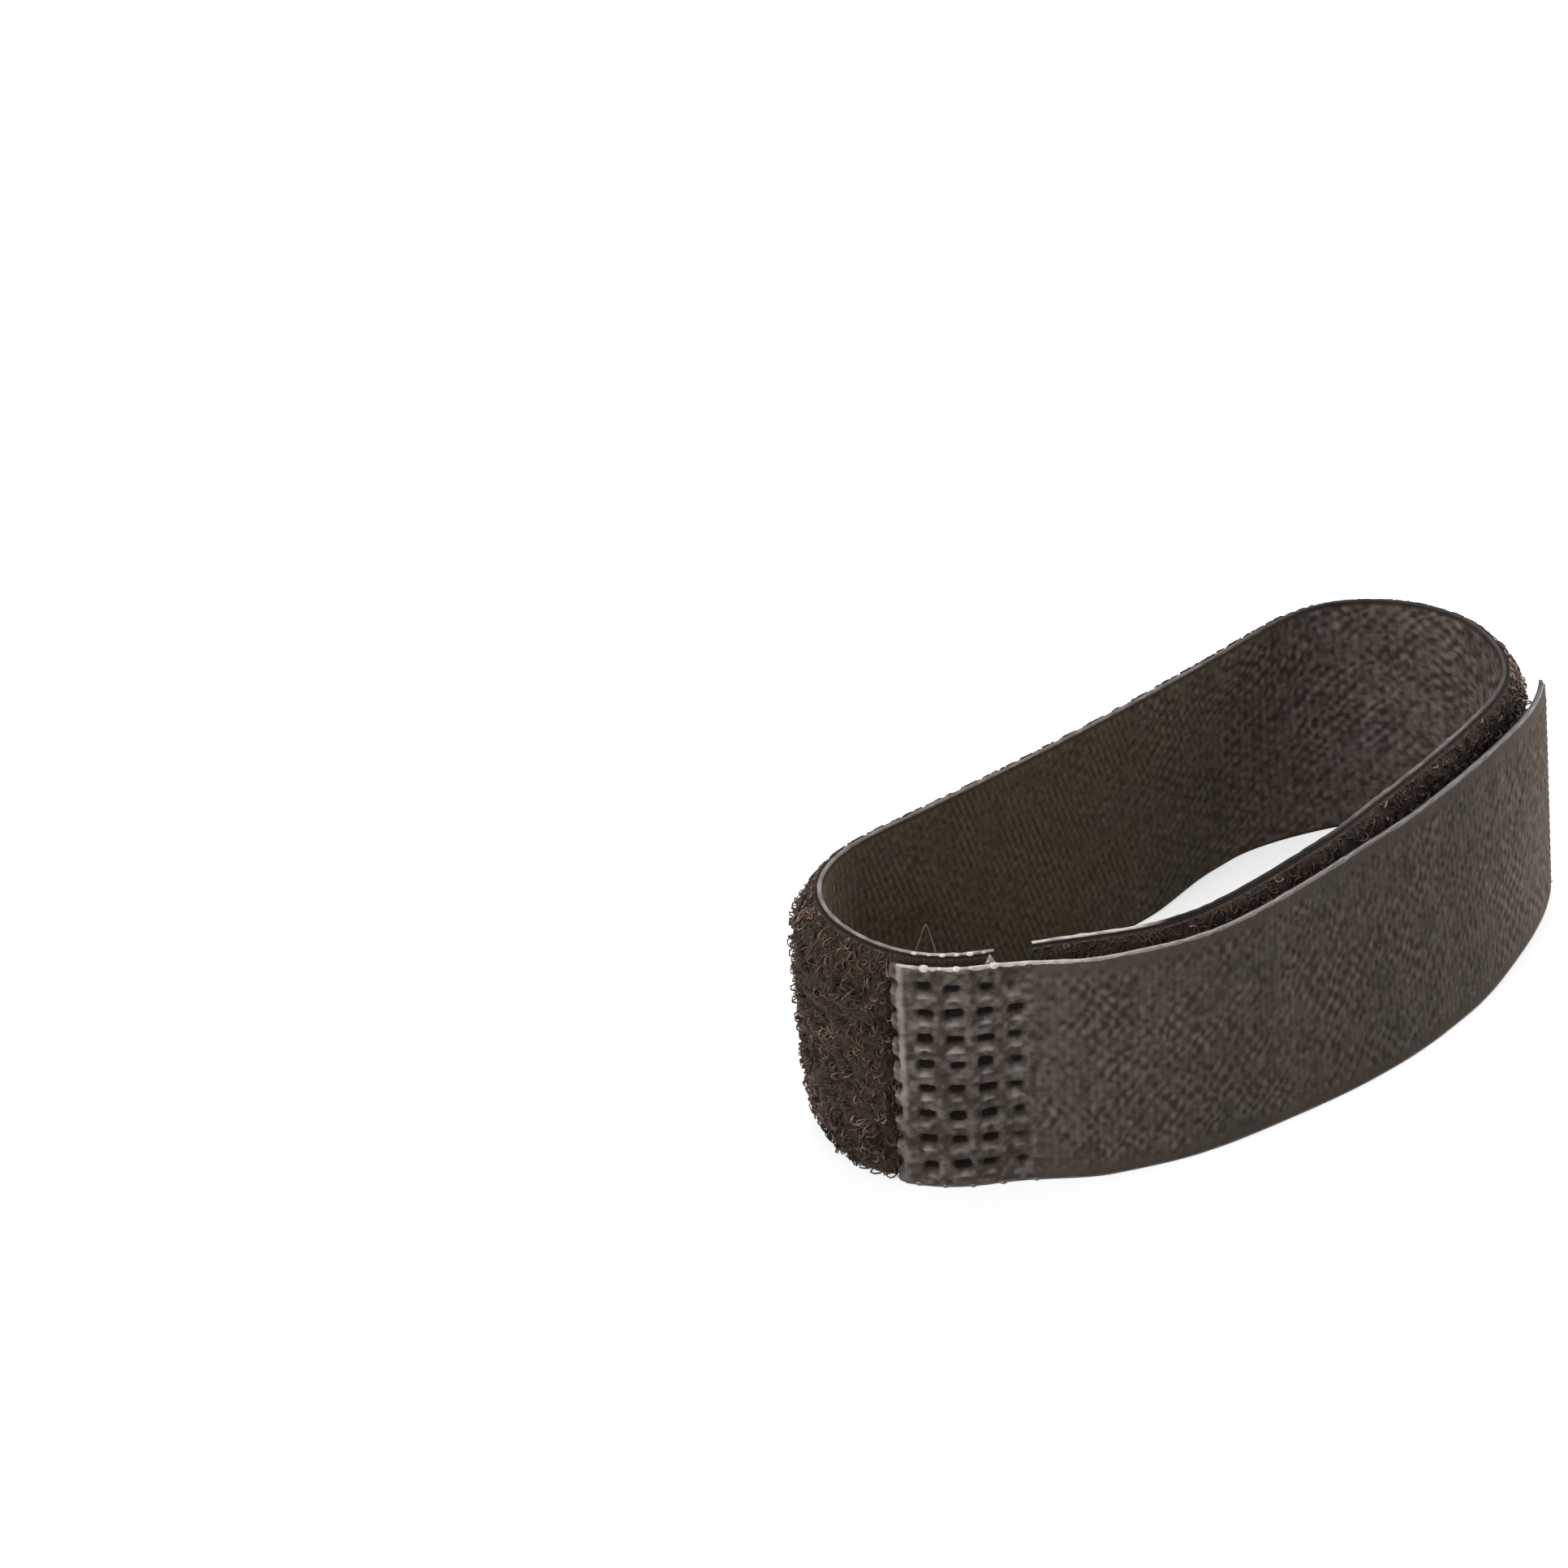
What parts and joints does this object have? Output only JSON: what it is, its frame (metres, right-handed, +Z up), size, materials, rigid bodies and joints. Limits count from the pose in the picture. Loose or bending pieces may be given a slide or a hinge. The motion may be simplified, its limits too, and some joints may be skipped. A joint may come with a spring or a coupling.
{
  "type": "hook and loop cable tie",
  "caption": "Reusable fabric tie closed into an oval loop: a fuzzy loop tape with a welded-on hook tape fastened over it, for bundling cables.",
  "frame": {"origin": "middle of the base of the tie's bounding box, on the surface that it stands on", "axes": "+X along the loop's longest extent, from the weld towards the far bend; +Y away from the hook tape; +Z up across the tape's width"},
  "size_m": [0.0658, 0.0302, 0.0191],
  "materials": {
    "loop_tape": "dark brown nylon pile on a woven backing",
    "hook_tape": "grey-brown woven nylon with moulded-in hooks"
  },
  "bodies": {
    "root": {"loop_tape": "loop_tape", "hook_tape": "hook_tape"}
  },
  "joints": []
}
